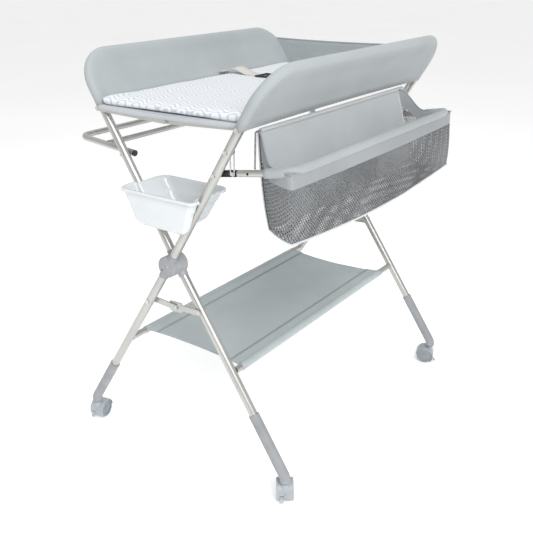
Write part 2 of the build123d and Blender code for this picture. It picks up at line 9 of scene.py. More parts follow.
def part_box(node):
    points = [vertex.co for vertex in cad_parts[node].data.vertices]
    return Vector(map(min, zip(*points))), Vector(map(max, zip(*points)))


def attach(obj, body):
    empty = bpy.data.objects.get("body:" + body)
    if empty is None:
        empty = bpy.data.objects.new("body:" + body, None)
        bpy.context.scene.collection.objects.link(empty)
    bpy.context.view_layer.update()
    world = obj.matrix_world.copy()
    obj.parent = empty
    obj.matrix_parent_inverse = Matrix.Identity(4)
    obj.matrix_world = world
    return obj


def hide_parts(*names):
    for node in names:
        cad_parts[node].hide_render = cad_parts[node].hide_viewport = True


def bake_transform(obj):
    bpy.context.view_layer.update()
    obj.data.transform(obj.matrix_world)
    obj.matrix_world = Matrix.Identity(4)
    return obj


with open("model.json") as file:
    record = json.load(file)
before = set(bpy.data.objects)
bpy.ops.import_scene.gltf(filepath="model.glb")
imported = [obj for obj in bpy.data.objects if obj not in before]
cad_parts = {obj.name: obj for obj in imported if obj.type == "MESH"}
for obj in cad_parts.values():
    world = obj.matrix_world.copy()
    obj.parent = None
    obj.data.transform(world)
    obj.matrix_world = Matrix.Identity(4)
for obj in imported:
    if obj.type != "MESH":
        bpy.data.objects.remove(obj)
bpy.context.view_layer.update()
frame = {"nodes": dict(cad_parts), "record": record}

# Folding changing table on casters. Metres, +Z up, the near open end at -Y.
# The tubes, hubs, links, feet and casters are the frame's own pieces with better finishes;
# the cloth, the pad, the basket's bag, the strap and the tub are made here.

MM = 0.001

# ------------------------------------------------------------------ places read from the frame
joints = {joint["name"]: joint for joint in frame["record"]["behaviour"]["joints"]}
hub_z = joints["fold"]["pos_m"][2]
basket_hinge = Vector(joints["basket_fold"]["pos_m"])
upper_slope = basket_hinge.x / (basket_hinge.z - hub_z)
lean = math.atan(upper_slope)
tube_r = 10 * MM


def leg_planes(frame_name):
    """y of the near and the far leg of a frame."""
    low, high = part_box(f"wall_hoop_{frame_name}")
    return low[1] + tube_r, high[1] - tube_r


def leg_x(z, side):
    """Sideways place of the upper leg that leans to side, at height z."""
    return side * upper_slope * (z - hub_z)


hoop_axis_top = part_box("wall_hoop_b")[1][2] - tube_r
pad_low, pad_high = (Vector(corner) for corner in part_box("changing_pad"))
shelf_low, shelf_high = (Vector(corner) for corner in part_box("shelf_fabric"))
tub_low, tub_high = (Vector(corner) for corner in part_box("bath_tub"))
bag_low = Vector(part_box("basket_bag")[0])
rail_low, rail_high = (Vector(corner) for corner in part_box("basket_frame"))
rod_low, rod_high = (Vector(corner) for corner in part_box("basket_rod_sleeve"))
strap_low, strap_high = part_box("pad_strap_left")


# ------------------------------------------------------------------ camera, light and floor
def add_camera():
    """Stands at the near right corner, a little above the pad, and looks down along the table."""
    azimuth, height_angle, roll = (math.radians(angle) for angle in (38.213, 18.390, -1.226))
    back = Vector((math.sin(azimuth) * math.cos(height_angle),
                   -math.cos(azimuth) * math.cos(height_angle), math.sin(height_angle)))
    right = (-back).cross(Vector((0, 0, 1))).normalized()
    up = right.cross(-back)
    turned_right = math.cos(roll) * right + math.sin(roll) * up
    turned_up = math.cos(roll) * up - math.sin(roll) * right
    camera = bpy.data.objects.new("camera", bpy.data.cameras.new("camera"))
    camera.data.sensor_width = 36
    camera.data.lens = 49.10
    camera.data.shift_x = 0.04125
    camera.data.shift_y = -0.10651
    camera.matrix_world = Matrix.Translation((1.0911, -1.4993, 1.1664)) @ Matrix(
        (turned_right, turned_up, back)).transposed().to_4x4()
    bpy.context.collection.objects.link(camera)
    bpy.context.scene.camera = camera


def add_light(name, place, aim, size, power):
    """A round white soft light of size metres and power watts."""
    lamp = bpy.data.objects.new(name, bpy.data.lights.new(name, "AREA"))
    lamp.data.shape = "DISK"
    lamp.data.size = size
    lamp.data.energy = power
    lamp.location = place
    lamp.rotation_euler = (Vector(place) - Vector(aim)).to_track_quat("Z", "Y").to_euler()
    bpy.context.collection.objects.link(lamp)


# ------------------------------------------------------------------ materials
def to_linear(hex_colour):
    """sRGB hex, such as B2B8BA, to linear RGBA."""
    channels = [int(hex_colour[i:i + 2], 16) / 255 for i in (0, 2, 4)]
    linear = [c / 12.92 if c <= 0.04045 else ((c + 0.055) / 1.055) ** 2.4 for c in channels]
    return (*linear, 1.0)


def add(tree, kind, settings=None, links=None):
    """Adds a node; settings go to its inputs or else its properties, links to its inputs."""
    node = tree.nodes.new(kind)
    for key, value in (settings or {}).items():
        if isinstance(key, int) or key in node.inputs:
            node.inputs[key].default_value = value
        else:
            setattr(node, key, value)
    for key, source in (links or {}).items():
        tree.links.new(source, node.inputs[key])
    return node


def band_scale(period):
    """Scale of a band wave texture whose bands repeat every period metres."""
    return 2 * math.pi / (20 * period)


def start_material(name, settings):
    material = bpy.data.materials.new(name)
    material.use_nodes = True
    tree = material.node_tree
    shader = tree.nodes["Principled BSDF"]
    for key, value in settings.items():
        shader.inputs[key].default_value = value
    coords = add(tree, "ShaderNodeTexCoord").outputs["Object"]
    return material, tree, shader, coords


def two_tone(tree, shader, factor, low, high, start=0.3, stop=0.7):
    ramp = add(tree, "ShaderNodeMapRange", {"From Min": start, "From Max": stop}, {"Value": factor})
    mix = add(tree, "ShaderNodeMix", {"data_type": "RGBA"}, {0: ramp.outputs[0]})
    mix.inputs[6].default_value = to_linear(low)
    mix.inputs[7].default_value = to_linear(high)
    tree.links.new(mix.outputs[2], shader.inputs["Base Color"])
    return mix.outputs[2]


def bump(tree, shader, height, strength, distance):
    node = add(tree, "ShaderNodeBump", {"Strength": strength, "Distance": distance}, {"Height": height})
    tree.links.new(node.outputs["Normal"], shader.inputs["Normal"])


def lacquered_steel():
    """Silver-champagne powder lacquer on steel tube: soft long highlights, a faint orange peel."""
    material, tree, shader, coords = start_material(
        "silver lacquered steel", {"Metallic": 0.8, "Roughness": 0.34, "Coat Weight": 0.2,
                                   "Coat Roughness": 0.2})
    cloud = add(tree, "ShaderNodeTexNoise", {"Scale": 9.0, "Detail": 3.0}, {"Vector": coords})
    two_tone(tree, shader, cloud.outputs["Fac"], "B4B4B0", "C4C4C0")
    peel = add(tree, "ShaderNodeTexNoise", {"Scale": 1 / 0.0016, "Detail": 1.0}, {"Vector": coords})
    bump(tree, shader, peel.outputs["Fac"], 0.12, 0.0002)
    return material


def moulded_nylon(name, low, high, roughness, grain=0.0012):
    """Injection-moulded nylon: an even matt skin with a fine spark-eroded grain."""
    material, tree, shader, coords = start_material(name, {"Roughness": roughness, "IOR": 1.53})
    cloud = add(tree, "ShaderNodeTexNoise", {"Scale": 22.0, "Detail": 4.0}, {"Vector": coords})
    two_tone(tree, shader, cloud.outputs["Fac"], low, high)
    skin = add(tree, "ShaderNodeTexNoise", {"Scale": 1 / grain, "Detail": 2.0}, {"Vector": coords})
    bump(tree, shader, skin.outputs["Fac"], 0.25, 0.0002)
    return material


def zinc_plate():
    """Bright zinc-plated wire and rivets, slightly clouded by handling."""
    material, tree, shader, coords = start_material("bright zinc plate", {"Metallic": 1.0, "Roughness": 0.26})
    cloud = add(tree, "ShaderNodeTexNoise", {"Scale": 160.0, "Detail": 3.0}, {"Vector": coords})
    two_tone(tree, shader, cloud.outputs["Fac"], "BDBEBE", "DADBDB")
    return material


def woven_cloth(name, low, high, directions, thread=0.0016, roughness=0.72, relief=0.3):
    """Coated polyester cloth: plain weave, drawn about three times coarser than its threads, soft sheen."""
    material, tree, shader, coords = start_material(
        name, {"Roughness": roughness, "Sheen Weight": 0.15, "Sheen Roughness": 0.5})
    waves = [add(tree, "ShaderNodeTexWave",
                 {"wave_type": "BANDS", "bands_direction": direction, "Scale": band_scale(thread),
                  "Distortion": 0.6, "Detail": 1.0}, {"Vector": coords}) for direction in directions]
    weave = add(tree, "ShaderNodeMath", {"operation": "MULTIPLY"},
                {0: waves[0].outputs["Fac"], 1: waves[1].outputs["Fac"]})
    cloud = add(tree, "ShaderNodeTexNoise", {"Scale": 5.5, "Detail": 5.0, "Roughness": 0.55},
                {"Vector": coords})
    blend = add(tree, "ShaderNodeMath", {"operation": "MULTIPLY_ADD", 1: 0.22},
                {0: weave.outputs[0], 2: cloud.outputs["Fac"]})
    two_tone(tree, shader, blend.outputs[0], low, high, 0.35, 0.75)
    bump(tree, shader, weave.outputs[0], relief, 0.0003)
    return material


def printed_pad():
    """Soft coated pad cover, white with small printed waves in pale grey."""
    material, tree, shader, coords = start_material(
        "printed pad cover", {"Roughness": 0.6, "Sheen Weight": 0.2, "Sheen Roughness": 0.4})
    wander = add(tree, "ShaderNodeTexNoise", {"Scale": 14.0, "Detail": 2.0}, {"Vector": coords})
    shift = add(tree, "ShaderNodeVectorMath", {"operation": "SCALE", "Scale": 0.030},
                {0: wander.outputs["Color"]})
    moved = add(tree, "ShaderNodeVectorMath", {"operation": "ADD"}, {0: coords, 1: shift.outputs[0]})
    ripple = add(tree, "ShaderNodeTexWave",
                 {"wave_type": "BANDS", "bands_direction": "X", "Scale": band_scale(0.046)},
                 {"Vector": coords})
    lift = add(tree, "ShaderNodeMath", {"operation": "MULTIPLY", 1: 0.012}, {0: ripple.outputs["Fac"]})
    lift_vector = add(tree, "ShaderNodeCombineXYZ", None, {"Y": lift.outputs[0]})
    place = add(tree, "ShaderNodeVectorMath", {"operation": "ADD"},
                {0: moved.outputs[0], 1: lift_vector.outputs[0]})
    lines = add(tree, "ShaderNodeTexWave",
                {"wave_type": "BANDS", "bands_direction": "Y", "Scale": band_scale(0.0125),
                 "Distortion": 1.2, "Detail": 2.0, "Detail Scale": 2.5}, {"Vector": place.outputs[0]})
    two_tone(tree, shader, lines.outputs["Fac"], "DEE1E5", "BCC2CA", 0.35, 0.9)
    grain = add(tree, "ShaderNodeTexNoise", {"Scale": 1 / 0.0012, "Detail": 1.0}, {"Vector": coords})
    bump(tree, shader, grain.outputs["Fac"], 0.12, 0.0002)
    return material


def basket_net():
    """Warp-knitted net: dark threads round open diamonds, which let the light through."""
    material, tree, shader, coords = start_material("knitted net", {"Roughness": 0.75})
    period = 0.009
    waves = []
    for flip in ((1, 1, 1), (1, 1, -1)):
        turned = add(tree, "ShaderNodeVectorMath", {"operation": "MULTIPLY", 1: flip}, {0: coords})
        waves.append(add(tree, "ShaderNodeTexWave",
                         {"wave_type": "BANDS", "bands_direction": "DIAGONAL",
                          "Scale": 2 * band_scale(period)}, {"Vector": turned.outputs[0]}))
    thread = add(tree, "ShaderNodeMath", {"operation": "MAXIMUM"},
                 {0: waves[0].outputs["Fac"], 1: waves[1].outputs["Fac"]})
    cover = add(tree, "ShaderNodeMapRange",
                {"From Min": 0.6, "From Max": 0.8, "To Min": 0.06, "To Max": 0.95},
                {"Value": thread.outputs[0]})
    tree.links.new(cover.outputs[0], shader.inputs["Alpha"])
    patches = add(tree, "ShaderNodeTexNoise", {"Scale": 7.0, "Detail": 3.0}, {"Vector": coords})
    speckle = add(tree, "ShaderNodeTexNoise", {"Scale": 1 / 0.006, "Detail": 2.0}, {"Vector": coords})
    tone = add(tree, "ShaderNodeMath", {"operation": "MULTIPLY_ADD", 1: 0.6},
               {0: speckle.outputs["Fac"], 2: patches.outputs["Fac"]})
    two_tone(tree, shader, tone.outputs[0], "606264", "8A8C8E", 0.6, 1.0)
    return material


def glossy_polypropylene():
    """White polypropylene bath: smooth gloss with the very slight waviness of a thin moulding."""
    material, tree, shader, coords = start_material(
        "white polypropylene", {"Roughness": 0.18, "IOR": 1.49, "Subsurface Weight": 0.05,
                                "Coat Weight": 0.2, "Coat Roughness": 0.08})
    cloud = add(tree, "ShaderNodeTexNoise", {"Scale": 8.0}, {"Vector": coords})
    two_tone(tree, shader, cloud.outputs["Fac"], "D6DADC", "DEE1E3")
    bump(tree, shader, cloud.outputs["Fac"], 0.05, 0.002)
    return material


lacquer = lacquered_steel()
hub_nylon = moulded_nylon("hub nylon", "8C8E92", "9C9EA1", 0.48)
caster_nylon = moulded_nylon("caster nylon", "9BA3A8", "AEB5BA", 0.42)
wheel_nylon = moulded_nylon("wheel nylon", "868D92", "969DA2", 0.5)
black_nylon = moulded_nylon("black nylon", "17181A", "232427", 0.4)
zinc = zinc_plate()
wall_cloth = woven_cloth("wall cloth", "9CA2A4", "A7ADAF", "YZ")
inner_cloth = woven_cloth("basket lining cloth", "B2B7BA", "BEC3C6", "YZ")
shelf_cloth = woven_cloth("shelf cloth", "AAB3B4", "B7BFC0", "XY")
# the band below the rail is the walls' grey cloth; its darker colour is painted shade from the rolled rail
# cover above it
band_cloth_painted_shade = woven_cloth("basket band cloth with painted shade", "8B8F92", "9A9EA1", "YZ", relief=0.4)
hem_tape = woven_cloth("hem tape", "ADB2B6", "BEC3C7", "XZ", thread=0.0022, relief=0.5)
white_tape = woven_cloth("white edge tape", "C6C9CA", "D6D8D8", "YZ", thread=0.0022, relief=0.5)
dark_tape = woven_cloth("grey edge tape", "8C9294", "9CA1A3", "XZ", thread=0.002)
webbing = woven_cloth("cream webbing", "B6B4AE", "C6C4BE", "XY", thread=0.0026, relief=0.8)
pad_cover = printed_pad()
net = basket_net()
bath_plastic = glossy_polypropylene()
seam_thread = moulded_nylon("black stitching", "2A2C2E", "3A3C3E", 0.7)

FINISHES = {
    "tube_silver": lacquer,
    "leg_plastic": hub_nylon,
    "zinc_steel": zinc,
    "caster_plastic": caster_nylon,
    "wheel_plastic": wheel_nylon,
    "black_plastic": black_nylon,
    "white_piping": white_tape,
}
for subpart in frame["record"]["subparts"]:
    finish = FINISHES.get(subpart["material_slot"])
    if finish:
        mesh = frame["nodes"][subpart["node"]].data
        mesh.materials.clear()
        mesh.materials.append(finish)


# ------------------------------------------------------------------ making pieces
def finish_piece(name, shape, materials, body=None, replaces=(), smooth=True):
    """Turns a bmesh into a piece that rides on a body, or on none yet."""
    bmesh.ops.remove_doubles(shape, verts=shape.verts, dist=1e-6)
    mesh = bpy.data.meshes.new(name)
    shape.to_mesh(mesh)
    shape.free()
    for material in materials:
        mesh.materials.append(material)
    if smooth:
        mesh.shade_smooth()
    piece = bpy.data.objects.new(name, mesh)
    bpy.context.collection.objects.link(piece)
    if body:
        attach(piece, body)
    if replaces:
        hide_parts(*replaces)
    return piece


def modifier(piece, kind, **settings):
    """Adds a modifier and sets its properties."""
    added = piece.modifiers.new(kind.title(), kind)
    for key, value in settings.items():
        setattr(added, key, value)
    return added


def solid_sheet(piece, thickness, offset=0.0):
    """Gives a surface its thickness: about its middle, or outwards with offset 1."""
    modifier(piece, "SOLIDIFY", thickness=thickness, offset=offset, use_even_offset=True)


def line_piece(name, points, radius, material, body=None, flatten=None, blend=None):
    """A round edge, seam or cover that follows a smooth line through its points.

    flatten is (axis, factor, centre) for a line pressed flat; blend is passed to blend_frames."""
    curve = bpy.data.curves.new(name, "CURVE")
    curve.dimensions = "3D"
    curve.bevel_depth = radius
    curve.bevel_resolution = 3
    curve.use_fill_caps = True
    spline = curve.splines.new("NURBS")
    spline.points.add(len(points) - 1)
    for control, point in zip(spline.points, points):
        control.co = (*point, 1)
    spline.order_u = 3
    spline.use_endpoint_u = True
    spline.resolution_u = 6
    source = bpy.data.objects.new(name, curve)
    mesh = bpy.data.meshes.new_from_object(source)
    bpy.data.objects.remove(source)
    shape = bmesh.new()
    shape.from_mesh(mesh)
    if flatten:
        axis, factor, centre = flatten
        for vertex in shape.verts:
            vertex.co[axis] = centre + (vertex.co[axis] - centre) * factor
    piece = finish_piece(name, shape, [material], None if blend else body)
    if blend:
        blend_frames(piece, *blend)
    return piece


# x handed to blend_frames for each cloth from frame to frame; the frames cross at the hub
ABOVE_HUB, BELOW_HUB = 0.19, -0.15


def blend_frames(piece, start_x):
    """Cloth from frame to frame: bakes its placement into its mesh and leaves it on no frame."""
    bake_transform(piece)


def smooth_step(value, low, high):
    t = min(1, max(0, (value - low) / (high - low)))
    return t * t * (3 - 2 * t)


def grid_sheet(columns, rows):
    """A flat unit grid: x and y run from -1 to 1."""
    shape = bmesh.new()
    bmesh.ops.create_grid(shape, x_segments=columns, y_segments=rows, size=1)
    return shape


# ------------------------------------------------------------------ side walls, sleeves over the hoops
WALL_FOOT = 0.861                   # height of the hem under the deck
SLEEVE_R = tube_r + 1.8 * MM        # cloth round the tube
HOOP_BEND = 85 * MM
SKIN_HALF = 8 * MM                  # half the gap between the two skins in the middle
SKIN_STEPS, SKIN_STEP = 8, 5 * MM   # rings over which the skins settle from the tube
HEM_DEPTH = 30 * MM
WALL_COLUMNS, WALL_BANDS = 20, 5


def sleeve_rings():
    """Inset and height of each ring of one skin, from the tube's outside inwards."""
    quarter = [math.radians(angle) for angle in (18, 36, 54, 72, 90)]
    rings = [(SLEEVE_R * (1 - math.cos(angle)), SLEEVE_R * math.sin(angle)) for angle in quarter]
    for step in range(1, SKIN_STEPS + 1):
        settled = smooth_step(step, 0, SKIN_STEPS)
        rings.append((SLEEVE_R + step * SKIN_STEP, SKIN_HALF + (SLEEVE_R - SKIN_HALF) * (1 - settled)))
    return rings


def cut_across(shape, place, normal):
    """Adds an edge loop where a plane crosses the whole shape."""
    bmesh.ops.bisect_plane(shape, geom=shape.verts[:] + shape.edges[:] + shape.faces[:], plane_co=place,
                           plane_no=normal)


def flat_sleeve(near_y, far_y, low, high):
    """The closed sleeve laid flat: x along the table, y up the leg, z through the cloth."""
    shape = bmesh.new()
    corners = [(near_y - SLEEVE_R, low), (far_y + SLEEVE_R, low),
               (far_y + SLEEVE_R, high), (near_y - SLEEVE_R, high)]
    ring = [shape.verts.new((y, t, 0)) for y, t in corners]
    shape.faces.new(ring)
    bmesh.ops.bevel(shape, geom=ring[2:], offset=HOOP_BEND + SLEEVE_R, segments=14, profile=0.5,
                    affect="VERTICES", material=-1)
    back = bmesh.ops.duplicate(shape, geom=shape.verts[:] + shape.edges[:] + shape.faces[:])
    back_face = next(item for item in back["geom"] if isinstance(item, bmesh.types.BMFace))
    bmesh.ops.reverse_faces(shape, faces=[back_face])
    for face in (back_face, next(f for f in shape.faces if f is not back_face)):
        done_in, done_up = 0, 0
        for inset, height in sleeve_rings():
            bmesh.ops.inset_region(shape, faces=[face], thickness=inset - done_in, depth=height - done_up,
                                   use_even_offset=True, use_boundary=True)
            done_in, done_up = inset, height
    bmesh.ops.remove_doubles(shape, verts=shape.verts, dist=1e-5)
    for position in range(1, WALL_COLUMNS):
        cut_across(shape, (near_y + (far_y - near_y) * position / WALL_COLUMNS, 0, 0), (1, 0, 0))
    for position in range(1, WALL_BANDS):
        cut_across(shape, (0, low + (high - low) * position / WALL_BANDS, 0), (0, 1, 0))
    return shape


def side_wall(frame_name, side):
    """Two skins of cloth pulled over a hoop: round over the tube, nearly flat between."""
    near_y, far_y = leg_planes(frame_name)
    along_leg = Vector((side * math.sin(lean), 0, math.cos(lean)))
    low = (WALL_FOOT - hub_z) / math.cos(lean)
    high = (hoop_axis_top - hub_z) / math.cos(lean) + SLEEVE_R
    shape = flat_sleeve(near_y, far_y, low, high)
    for vertex in shape.verts:
        y, t, lift = vertex.co
        from_leg = min(y - near_y, far_y - y)
        up_share = (t - low) / (high - low)
        # between the legs the hem lies flatter, and the skins belly in a little
        hem = (1 - smooth_step(t - low, 0, HEM_DEPTH)) * smooth_step(from_leg, 15 * MM, 50 * MM)
        lift *= 1 - 0.6 * hem
        inside = smooth_step(from_leg, 20 * MM, 120 * MM) * smooth_step(high - t, 20 * MM, 60 * MM)
        wave = noise.noise(Vector((y * 6, t * 7, side * 3.1))) * 1.6 * MM
        lift += inside * (wave - math.copysign(1, lift) * 1.2 * MM * math.sin(math.pi * up_share))
        bow = math.sin(math.pi * (y - near_y) / (far_y - near_y))
        t += 4 * MM * (1 - smooth_step(t - low, 0, 25 * MM)) * bow * inside
        vertex.co = Vector((0, y, hub_z)) + along_leg * t + Vector((0, 1, 0)).cross(along_leg) * lift
    bmesh.ops.recalc_face_normals(shape, faces=shape.faces)
    finish_piece(f"side_wall_{frame_name}", shape, [wall_cloth], f"frame_{frame_name}",
                 [f"wall_fabric_{frame_name}"])


def wall_hem(frame_name, side):
    """The rolled lower hem of a side wall."""
    near_y, far_y = leg_planes(frame_name)
    hem_z = WALL_FOOT + 1 * MM
    hem_x = leg_x(hem_z, side) + side * 5 * MM
    points = [(hem_x, near_y + (far_y - near_y) * k / 8, hem_z + 3 * MM * math.sin(math.pi * k / 8))
              for k in range(9)]
    line_piece(f"wall_hem_{frame_name}", points, 2 * MM, wall_cloth, f"frame_{frame_name}")


for frame_name, side in (("a", -1), ("b", 1)):
    side_wall(frame_name, side)
    wall_hem(frame_name, side)

# ------------------------------------------------------------------ end wall between the far hoops
END_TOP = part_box("end_wall_fabric")[1][2] + 2 * MM
END_FOOT = 0.866
end_y = (leg_planes("a")[1] + leg_planes("b")[1]) / 2


def end_point(u, v):
    """Place on the end wall: u from -1 at frame A to 1 at frame B, v from 0 at the foot to 1."""
    z = END_FOOT + (END_TOP - END_FOOT) * v
    x = u * (leg_x(z, 1) - 2 * MM)
    y = end_y + 5 * MM * math.sin(math.pi * v) * (1 - u * u) - u * 6 * MM
    y += 1.5 * MM * noise.noise(Vector((u * 4, v * 3, 7.7)))
    return Vector((x, y, z - 4 * MM * v * (1 - u * u)))


shape = grid_sheet(36, 8)
for vertex in shape.verts:
    vertex.co = end_point(vertex.co.x, (vertex.co.y + 1) / 2)
end_wall = finish_piece("end_wall", shape, [wall_cloth], None, ["end_wall_fabric"])
solid_sheet(end_wall, 2.4 * MM)
blend_frames(end_wall, ABOVE_HUB)
end_piping = line_piece("end_wall_piping", [end_point(k / 8 - 1, 1) for k in range(17)], 2.2 * MM, dark_tape,
                        blend=(ABOVE_HUB,))

# ------------------------------------------------------------------ pad and deck
PAD_SIDE = 13 * MM                  # the pad's cover reaches this much further to the walls
DECK_SAG, DECK_HALF = 5 * MM, 210 * MM
SLING_Z, HEM_Z = 0.8715, 0.8685
SLING_HALF, DECK_HEM_HALF = leg_x(0.868, 1) - 9 * MM, leg_x(0.866, 1) - 12 * MM


def pad_body():
    """The pad's closed block, before it is inflated: narrower below, with rounded corners."""
    shape = bmesh.new()
    bmesh.ops.create_cube(shape, size=1)
    low_half, top_half = abs(pad_low.x) + 0.5 * MM, abs(pad_high.x) + PAD_SIDE - 4 * MM
    middle_y, length = (pad_low.y + pad_high.y) / 2, pad_high.y - pad_low.y
    for vertex in shape.verts:
        half = top_half if vertex.co.z > 0 else low_half
        z = pad_high.z - 5 * MM if vertex.co.z > 0 else pad_low.z + 1.5 * MM
        vertex.co = Vector((math.copysign(half, vertex.co.x), middle_y + vertex.co.y * (length - 4 * MM), z))
    upright = [e for e in shape.edges if abs(e.verts[0].co.z - e.verts[1].co.z) > 1 * MM]
    bmesh.ops.bevel(shape, geom=upright, offset=14 * MM, segments=5, profile=0.5, affect="EDGES", material=-1)
    return shape


def inflate(piece, voxel, pressure, cap):
    """Remeshes a closed soft body and lets cloth pressure round it, with a limit to the swelling."""
    bpy.context.view_layer.update()
    modifier(piece, "REMESH", mode="VOXEL", voxel_size=voxel)
    bake_modifiers(piece)
    rest = [vertex.co.copy() for vertex in piece.data.vertices]
    cloth = modifier(piece, "CLOTH")
    cloth.settings.use_pressure = True
    cloth.settings.uniform_pressure_force = pressure
    cloth.settings.quality = 4
    cloth.settings.effector_weights.gravity = 0
    cloth.collision_settings.use_collision = False
    cloth.point_cache.frame_start, cloth.point_cache.frame_end = 1, 20
    for step in range(1, 21):
        bpy.context.scene.frame_set(step)
    bake_modifiers(piece)
    bpy.context.scene.frame_set(1)
    for vertex, start in zip(piece.data.vertices, rest):
        move = vertex.co - start
        if move.length > cap:
            vertex.co = start + move * (cap / move.length)


def bake_modifiers(piece):
    """Makes what the modifiers show into the piece's own mesh."""
    graph = bpy.context.evaluated_depsgraph_get()
    baked = bpy.data.meshes.new_from_object(piece.evaluated_get(graph))
    old = piece.data
    piece.modifiers.clear()
    piece.data = baked
    bpy.data.meshes.remove(old)


def deck_sag(x):
    """How far the sling under the pad hangs down between the walls."""
    return DECK_SAG * max(0.0, 1 - (x / DECK_HALF) ** 2)


pad = finish_piece("pad", pad_body(), [pad_cover], None, ["changing_pad"])
inflate(pad, 6 * MM, 4.0, 6 * MM)
middle_y, half_length = (pad_low.y + pad_high.y) / 2, (pad_high.y - pad_low.y) / 2
for vertex in pad.data.vertices:
    x, y, z = vertex.co
    share = smooth_step(z, pad_low.z, pad_high.z)
    z -= deck_sag(x) * share
    # soft quilting dimples in the top
    if z > pad_low.z + 8 * MM:
        z += 1.4 * MM * noise.noise(Vector((x * 11, y * 11, 2.2)))
    vertex.co = (x, y, z)
pad.data.shade_smooth()
modifier(pad, "SUBSURF", levels=1, render_levels=1)
bake_modifiers(pad)
pad.data.shade_smooth()
blend_frames(pad, ABOVE_HUB)

shape = grid_sheet(30, 44)
for vertex in shape.verts:
    u, v = vertex.co.x, vertex.co.y
    x = u * SLING_HALF
    vertex.co = Vector((x, middle_y + v * half_length, SLING_Z - 1.2 * MM * (1 - u * u)))
sling = finish_piece("deck_sling", shape, [hem_tape], None, ["deck_fabric"])
solid_sheet(sling, 1.6 * MM)
blend_frames(sling, ABOVE_HUB)
for name, y in (("near", pad_low.y - 1.5 * MM), ("far", pad_high.y + 1.5 * MM)):
    points = [(DECK_HEM_HALF * (k / 8 - 1), y, HEM_Z - 3.5 * MM * (1 - (k / 8 - 1) ** 2)) for k in range(17)]
    hem = line_piece(f"deck_hem_{name}", points, 5.2 * MM, hem_tape,
                     flatten=(1, 0.45, y), blend=(ABOVE_HUB,))

# ------------------------------------------------------------------ strap with its buckle
STRAP_HALF = (strap_high[1] - strap_low[1]) / 2
strap_y = (strap_high[1] + strap_low[1]) / 2
STRAP_REACH = 219 * MM
HUMP_LEFT, HUMP_RIGHT = -165 * MM, 150 * MM
buckle_low, buckle_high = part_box("strap_buckle")


def strap_height(x):
    """The webbing lies on the pad, with a soft hump beside each wall."""
    hump = 14 * MM * math.exp(-((x - HUMP_LEFT) / 0.030) ** 2)
    return pad_high.z + 1.5 * MM - deck_sag(x) + hump + 3 * MM * math.exp(-((x - HUMP_RIGHT) / 0.03) ** 2)


def strap_run(name, x_from, x_to, node):
    """One length of webbing; it tilts a little where it humps on the left."""
    shape = grid_sheet(28, 4)
    for vertex in shape.verts:
        x = x_from + (x_to - x_from) * (vertex.co.x + 1) / 2
        tilt = 0.10 * math.exp(-((x - HUMP_LEFT) / 0.05) ** 2)
        z = strap_height(x) + vertex.co.y * STRAP_HALF * tilt
        vertex.co = Vector((x, strap_y + vertex.co.y * STRAP_HALF, z))
    piece = finish_piece(name, shape, [webbing], None, [node])
    solid_sheet(piece, 1.6 * MM)
    blend_frames(piece, ABOVE_HUB)


strap_run("strap_left", -STRAP_REACH, buckle_low[0] + 8 * MM, "pad_strap_left")
strap_run("strap_right", buckle_high[0] - 8 * MM, STRAP_REACH, "pad_strap_right")


# the buckle's bars in mm: centre x and y, then size in x and y
BUCKLE_BARS = ((0, 23, 60, 5.2), (0, -23, 60, 5.2), (26, 0, 5.2, 50), (-26, 0, 5.2, 50), (0, 0, 4.68, 50))
BUCKLE_THICK = 4.5 * MM


def buckle():
    """A slide buckle: a rounded frame with a cross bar, in black nylon."""
    shape = bmesh.new()
    for bar_x, bar_y, size_x, size_y in BUCKLE_BARS:
        for vertex in bmesh.ops.create_cube(shape, size=1)["verts"]:
            vertex.co.x = (bar_x + vertex.co.x * size_x) * MM
            vertex.co.y = (bar_y + vertex.co.y * size_y) * MM
            vertex.co.z *= BUCKLE_THICK
    bmesh.ops.bevel(shape, geom=shape.edges[:], offset=1.2 * MM, segments=2, profile=0.5, affect="EDGES",
                    material=-1)
    centre_x = (buckle_low[0] + buckle_high[0]) / 2
    bmesh.ops.translate(shape, verts=shape.verts, vec=(centre_x, strap_y, strap_height(centre_x) + 2.5 * MM))
    piece = finish_piece("slide_buckle", shape, [black_nylon], None, ["strap_buckle"],
                         smooth=False)
    blend_frames(piece, ABOVE_HUB)


buckle()

# ------------------------------------------------------------------ lower shelf
SHELF_SAG, SHELF_EDGE_CURVE = 5 * MM, 13 * MM
tube_x = (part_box("shelf_tube_right")[0][0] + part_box("shelf_tube_right")[1][0]) / 2
shelf_z = (shelf_low.z + shelf_high.z) / 2
POCKET = 38 * MM                    # width of the doubled cloth beside each tube


def shelf_point(u, v):
    """u from -1 to 1 between the tubes, v from -1 to 1 along them; the open edges curve in."""
    x = u * tube_x
    half = (shelf_high.y - shelf_low.y) / 2
    y = (shelf_low.y + shelf_high.y) / 2 + v * (half - SHELF_EDGE_CURVE * (1 - u * u) * abs(v) ** 3)
    droop = SHELF_SAG * (1 - u * u) * (1 - 0.35 * v * v)
    ripple = 1.0 * MM * noise.noise(Vector((u * 3, v * 5, 1.3))) * (1 - u * u)
    return Vector((x, y, shelf_z + 3 * MM - droop + ripple))


